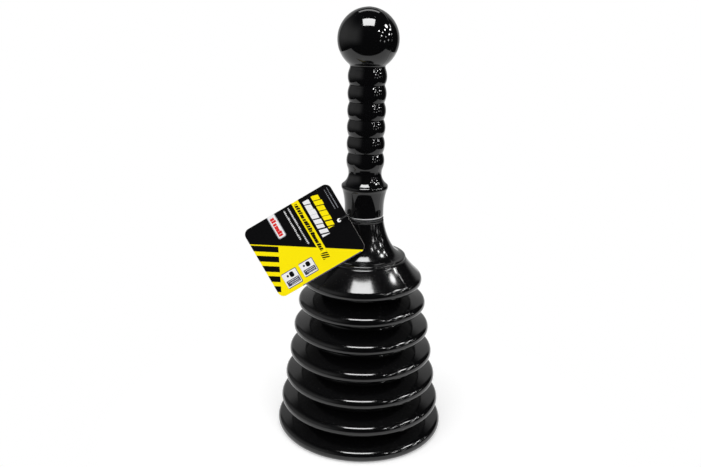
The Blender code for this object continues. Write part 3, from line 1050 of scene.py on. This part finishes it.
def bar_row(board, u, v, box, pitch, seed, fill, slant=0.0):
    """A row of plain blocks that reads as print from afar. They form no letters."""
    u0, v0, u1, v1 = box
    step = (v + (u - u0) * slant) / pitch
    place = board.join(step.math("FLOOR"), seed, 0.0)
    cell = board.add("ShaderNodeTexWhiteNoise", {"noise_dimensions": "2D"}, {"Vector": place})
    width = cell * 0.35 + (fill - 0.2)
    drawn = board.ramp(step.math("FRACT"), width - 0.06, width + 0.06, 1.0, 0.0)
    short = (cell * 7.0).math("FRACT") * (u1 - u0) * 0.28
    return drawn * within(board, u, u0 + short, u1) * within(board, v, v0, v1)


def sheet_place(board):
    u, v, _ = board.split(board.add("ShaderNodeUVMap", {"uv_map": "sheet"}))
    return u * SHEET_LENGTH, v * SHEET_WIDTH


def worn(board, ink, colour):
    return board.mix(ink * INK_WEAR, colour, FADE)


def with_fields(board, u, v, field, depth):
    """The black and yellow fields, the hazard bars, and the yellow band with its hatched end."""
    step = (depth - HAZARD_START) / HAZARD_PITCH
    bars = board.ramp(step.math("FRACT"), 0.57, 0.59, 1.0, 0.0)
    bars = bars * board.ramp(depth, HAZARD_START - 0.05, HAZARD_START + 0.05)
    bars = bars * board.ramp(u - HAZARD_END - v / HAZARD_END_SLOPE, -0.1, 0.1)
    band = within(board, u, BAND_START, BAND_END)
    band = band * board.ramp(v, BAND_LENGTH - 0.1, BAND_LENGTH + 0.1, 1.0, 0.0)
    hatch = ((v + (u - 25.5) * 0.35) / HATCH_PITCH).math("FRACT")
    hatch = board.ramp(hatch, 0.55, 0.7, 1.0, 0.0) * in_box(board, u, v, HATCH)
    colour = board.mix(field, BLACK, YELLOW)
    colour = board.mix(bars, colour, BLACK)
    colour = board.mix(band, colour, YELLOW)
    return board.mix(hatch, colour, BLACK)


def with_rows(board, u, v, colour):
    """Rows of blocks where the print is: on the band, two big rows, and four small ones."""
    row = bar_row(board, u, v, BAND_ROW, 1.9, 5.0, 0.86, PRINT_SLANT)
    colour = board.mix(row, colour, BLACK)
    for seed, (box, pitch, ink) in enumerate(TITLE_ROWS, 1):
        row = bar_row(board, u, v, box, pitch, float(seed), 0.84, PRINT_SLANT)
        colour = board.mix(row, colour, ink)
    for seed, (box, ink) in enumerate(SMALL_ROWS, 11):
        row = bar_row(board, u, v, box, 1.35, float(seed), 0.75)
        colour = board.mix(row * 0.8, colour, ink)
    return colour


def with_plate(board, u, v, colour):
    """A white plate with a grey rim and one row of red blocks."""
    plate = panel(board, u, v, PLATE, 1.4)
    rim = plate * (1 - panel(board, u, v, PLATE_FACE, 1.0))
    colour = board.mix(plate, colour, WHITE)
    colour = board.mix(rim, colour, GREY)
    return board.mix(bar_row(board, u, v, PLATE_ROW, 2.2, 21.0, 0.85), colour, RED)


def with_sign(board, u, v, box, colour):
    """A small framed sign: two dark shapes over a dark block with three broken lines."""
    u0, v0, u1, v1 = box
    middle = (v0 + v1) / 2
    face = panel(board, u, v, (u0 + 0.5, v0 + 0.5, u1 - 0.1, v1 - 0.6), 0.6)
    basin = panel(board, u, v, (u0 + 3.2, v0 + 1.4, u0 + 6.4, middle - 0.6), 1.2)
    drop = panel(board, u, v, (u0 + 7.2, v0 + 2.4, u0 + 8.8, middle - 1.8), 0.8)
    block = panel(board, u, v, (u0 + 1.0, middle + 0.4, u1 - 1.0, v1 - 1.4), 0.4)
    colour = board.mix(panel(board, u, v, box, 0.9), colour, NAVY)
    colour = board.mix(face, colour, WHITE)
    colour = board.mix(largest(basin, drop), colour, BLACK)
    colour = board.mix(block, colour, DARK_BLUE)
    for line in range(3):
        row_v = middle + 1.0 + line * 1.35
        light = in_box(board, u, v, (u0 + 1.8, row_v, u1 - 1.8 - line, row_v + 0.6))
        broken = board.ramp((u / 1.1 + line * 0.37).math("FRACT"), 0.62, 0.72, 1.0, 0.0)
        colour = board.mix(light * broken * 0.85, colour, WHITE)
    return colour


def tag_print_finish():
    """The printed front of the card."""
    material, board, shader = finish_board("tag_front_print")
    u, v = sheet_place(board)
    lean = math.radians(FIELD_LEAN)
    depth = u * math.sin(lean) + v * math.cos(lean)
    field = board.ramp(depth, FIELD_START, FIELD_START + 0.2)
    colour = with_fields(board, u, v, field, depth)
    colour = with_rows(board, u, v, colour)
    colour = with_plate(board, u, v, colour)
    for box in SIGNS:
        colour = with_sign(board, u, v, box, colour)
    colour = board.mix(in_box(board, u, v, LOWER_BORDER) * field, colour, NAVY)

    where = object_place(board)
    ink = board.noise(where, 900.0, 3.0, 0.6)
    rub = board.ramp(board.noise(where, 160.0, 5.0, 0.65), 0.58, 0.74)
    rough = 0.34 + (ink - 0.5) * 0.12 + rub * 0.12
    bump = board.bump(ink * (0.006 * MM) + board.noise(where, 90.0, 1.0, 0.5) * (0.05 * MM))
    feed(board, shader, Base_Color=worn(board, ink, colour), Roughness=rough, Normal=bump)
    shader.inputs["IOR"].default_value = 1.45
    shader.inputs["Specular IOR Level"].default_value = 0.08
    return material


def tag_back_finish():
    """The printed back: a plain black field with a hazard strip and rows of grey blocks."""
    material, board, shader = finish_board("tag_back_print")
    u, v = sheet_place(board)
    strip = within(board, u, BACK_STRIP_START, BACK_STRIP_END)
    stripe = board.ramp(((v + u * 0.6) / 7.2).math("FRACT"), 0.57, 0.59, 1.0, 0.0)
    colour = board.mix(strip, BLACK, YELLOW)
    colour = board.mix(strip * stripe, colour, BLACK)
    for row in range(7):
        u0 = 14.0 + row * 4.6
        box = (u0, 7.0, u0 + 1.7, 50.0 - (row * 11) % 17)
        blocks = bar_row(board, u, v, box, 1.8, 31.0 + row, 0.8)
        colour = board.mix(blocks * 0.85, colour, GREY)
    ink = board.noise(object_place(board), 900.0, 3.0, 0.6)
    rough = 0.42 + (ink - 0.5) * 0.14
    bump = board.bump(ink * (0.008 * MM))
    feed(board, shader, Base_Color=worn(board, ink, colour), Roughness=rough, Normal=bump)
    return material


def cut_board_finish():
    """The cut edge of the board, with its pressed layers."""
    material, board, shader = finish_board("tag_cut_edge")
    where = object_place(board)
    pulp = board.noise(where, 2200.0, 4.0, 0.7)
    colour = board.mix(pulp, (0.30, 0.29, 0.27, 1.0), (0.62, 0.60, 0.57, 1.0))
    bump = board.bump(pulp * (0.03 * MM))
    rough = 0.8 + (pulp - 0.5) * 0.2
    feed(board, shader, Base_Color=colour, Roughness=rough, Normal=bump)
    return material


def tag_outline():
    """The card as a filled flat curve: a round-cornered edge and a hole, with pressed-in rims."""
    curve = bpy.data.curves.new("tag", "CURVE")
    curve.dimensions = "2D"
    curve.fill_mode = "BOTH"
    curve.extrude = TAG_THICK / 2 - TAG_PRESS
    curve.bevel_depth = TAG_PRESS
    curve.bevel_resolution = 2
    curve.offset = -TAG_PRESS
    right = TAG_HOLE_INSET - TAG_CORNER
    left = TAG_HOLE_INSET - TAG_LENGTH + TAG_CORNER
    top = TAG_WIDTH / 2 - TAG_CORNER
    edge = []
    for x, y, first in ((right, top, 0), (left, top, 90), (left, -top, 180), (right, -top, 270)):
        edge += arc(x, y, TAG_CORNER, first, first + 90, 16)
    hole = arc(0.0, 0.0, TAG_HOLE_RADIUS, 0, -350, 36)
    for outline in (edge, hole):
        spline = curve.splines.new("POLY")
        spline.points.add(len(outline) - 1)
        for point, (x, y) in zip(spline.points, outline):
            point.co = (x, y, 0.0, 1.0)
        spline.use_cyclic_u = True
    return link("tag_outline", curve)


def make_tag():
    drawn = tag_outline()
    mesh = evaluated_mesh(drawn)
    bpy.data.objects.remove(drawn)
    mesh.name = "tag"

    card = bmesh.new()
    card.from_mesh(mesh)
    bmesh.ops.remove_doubles(card, verts=card.verts, dist=WELD)
    bmesh.ops.recalc_face_normals(card, faces=card.faces)
    layer = card.loops.layers.uv.new("sheet")
    for face in card.faces:
        flat = abs(face.normal.z) > 0.99
        face.material_index = (0 if face.normal.z > 0 else 1) if flat else 2
        face.smooth = False
        for loop in face.loops:
            u = (TAG_HOLE_INSET - loop.vert.co.x) / TAG_LENGTH
            v = 0.5 - loop.vert.co.y / TAG_WIDTH
            loop[layer].uv = (u, v)
    mesh.materials.clear()
    place = tag_frame() @ Matrix.Rotation(math.radians(90), 4, "X")
    bmesh.ops.transform(card, matrix=place, verts=card.verts)
    card.to_mesh(mesh)
    card.free()
    for finish in (tag_print_finish(), tag_back_finish(), cut_board_finish()):
        mesh.materials.append(finish)
    tag = link("tag", mesh)
    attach(tag, "tag")
    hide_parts("tag_card")


# ---- the mouldings ----
def make_handle():
    # heights of the painted highlight band at the skirt's mouth
    mouth = (SKIRT_Z, SKIRT_Z + PAINTED_HIGHLIGHT_HEIGHT)
    plastic = gloss_black("handle_gloss_black", PLASTIC_BLACK, 0.065, 1.7, mouth)
    above, grip, below = handle_outline()
    outside = above + grip + below
    whole = hollow(outside, HANDLE_WALL)
    on_grip = range(len(above), len(above) + len(grip))
    marks = [float(i in on_grip) for i in range(len(whole))]
    source = outline_object("handle_outline", whole, marks)
    sizes = {"Plastic": plastic, "Seed": 3.0, "Columns": HANDLE_COLUMNS}
    handle = grown(source, beaded_grip_tree(), sizes, "handle")
    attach(handle, "handle")
    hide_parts("handle_grip")


def make_turned(name, outline, seed, plastic, body, node):
    """A stretch of the bellows moulding that doesn't change its shape."""
    source = outline_object(name + "_outline", hollow(outline, BELLOWS_WALL))
    sizes = {"Plastic": plastic, "Seed": seed, "Columns": WIDE_COLUMNS}
    piece = grown(source, plain_turned_tree(), sizes, name)
    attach(piece, body)
    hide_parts(node)


def make_folds(plastic):
    mesh = bpy.data.meshes.new("folds_seed")
    source = link("folds_seed", mesh)
    folds = grown(source, folded_bellows_tree(), {"Plastic": plastic, "Seed": 7.0}, "bellows_rings")
    walled(folds, BELLOWS_WALL)
    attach(folds, "base")
    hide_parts("bellows_folds")
    travel = -next(j for j in frame["joints"] if j["name"] == "plunge")["range_m"][0]
    height = FOLDS_HIGH.z - FOLDS_LOW.z
    (height - travel) / height
    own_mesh(folds)


set_camera()
make_tie()
set_backdrop()
set_lamps()
set_floor()
TURNING = turning_tree()
make_handle()
lip = (TIE_SEAT_Z - LIP_HEIGHT, NECK_Z)
shoulder = gloss_black("shoulder_gloss_black", PLASTIC_BLACK, 0.14, 2.2, dulled=lip)
make_turned("bellows_shoulder", neck_outline(), 5.0, shoulder, "handle", "bellows_neck")
rings = gloss_black("rings_gloss_black", PLASTIC_BLACK, 0.11, 1.9)
make_folds(rings)
make_turned("bellows_base_ring", foot_outline(), 9.0, rings, "base", "bellows_foot")
make_tag()
